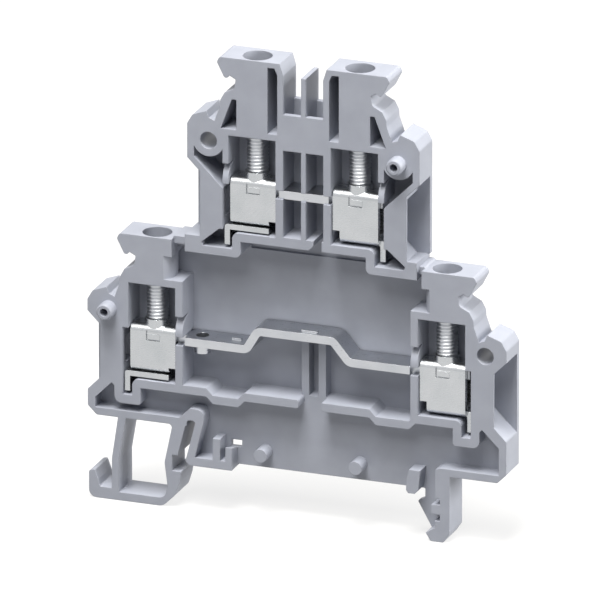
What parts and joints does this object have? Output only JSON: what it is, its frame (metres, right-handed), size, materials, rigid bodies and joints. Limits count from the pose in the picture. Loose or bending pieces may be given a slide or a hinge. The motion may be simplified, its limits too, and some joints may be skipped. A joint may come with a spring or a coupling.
{
  "type": "double level terminal block",
  "caption": "Rail-mounted double level feed-through terminal block in grey plastic, open on one side, with rising-cage screw clamps on bent current bars.",
  "frame": {"origin": "middle of the rail seat, in the plane of the rail's upper face and at half the block's width", "axes": "+Z away from the rail, X along the conductors with the snap foot on -X, +Y towards the closed side of the moulding"},
  "size_m": [0.0596, 0.0068, 0.0648],
  "materials": {
    "polyamide": "moulded grey polyamide, fine matt texture",
    "plated_copper": "tin-plated copper alloy, stamped",
    "plated_steel": "zinc-plated steel sheet, folded",
    "plated_screw": "zinc-plated steel, rolled thread"
  },
  "bodies": {
    "block": {"housing": "polyamide", "current_bar_upper": "plated_copper", "current_bar_lower": "plated_copper"},
    "cage_upper_left": {"clamp_cage_upper_left": "plated_steel"},
    "screw_upper_left": {"clamp_screw_upper_left": "plated_screw"},
    "cage_upper_right": {"clamp_cage_upper_right": "plated_steel"},
    "screw_upper_right": {"clamp_screw_upper_right": "plated_screw"},
    "cage_lower_left": {"clamp_cage_lower_left": "plated_steel"},
    "screw_lower_left": {"clamp_screw_lower_left": "plated_screw"},
    "cage_lower_right": {"clamp_cage_lower_right": "plated_steel"},
    "screw_lower_right": {"clamp_screw_lower_right": "plated_screw"}
  },
  "joints": [
    {"name": "screw_upper_left_turn", "type": "hinge", "parent": "block", "child": "screw_upper_left", "pos_m": [-0.00612, -0.00025, 0.0456], "axis": [0, 0, -1], "range_deg": [0, 1800]},
    {"name": "cage_upper_left_lift", "type": "slide", "parent": "block", "child": "cage_upper_left", "axis": [0, 0, 1], "range_m": [0, 0.0025]},
    {"name": "screw_upper_right_turn", "type": "hinge", "parent": "block", "child": "screw_upper_right", "pos_m": [0.0084, -0.00025, 0.0456], "axis": [0, 0, -1], "range_deg": [0, 1800]},
    {"name": "cage_upper_right_lift", "type": "slide", "parent": "block", "child": "cage_upper_right", "axis": [0, 0, 1], "range_m": [0, 0.0025]},
    {"name": "screw_lower_left_turn", "type": "hinge", "parent": "block", "child": "screw_lower_left", "pos_m": [-0.02043, -0.00025, 0.023], "axis": [0, 0, -1], "range_deg": [0, 1800]},
    {"name": "cage_lower_left_lift", "type": "slide", "parent": "block", "child": "cage_lower_left", "axis": [0, 0, 1], "range_m": [0, 0.0025]},
    {"name": "screw_lower_right_turn", "type": "hinge", "parent": "block", "child": "screw_lower_right", "pos_m": [0.02077, -0.00025, 0.023], "axis": [0, 0, -1], "range_deg": [0, 1800]},
    {"name": "cage_lower_right_lift", "type": "slide", "parent": "block", "child": "cage_lower_right", "axis": [0, 0, 1], "range_m": [0, 0.0025]}
  ],
  "couplings": [
    {"joint": "screw_upper_left_turn", "follows": "cage_upper_left_lift", "rad_per_m": 12566},
    {"joint": "screw_upper_right_turn", "follows": "cage_upper_right_lift", "rad_per_m": 12566},
    {"joint": "screw_lower_left_turn", "follows": "cage_lower_left_lift", "rad_per_m": 12566},
    {"joint": "screw_lower_right_turn", "follows": "cage_lower_right_lift", "rad_per_m": 12566}
  ]
}
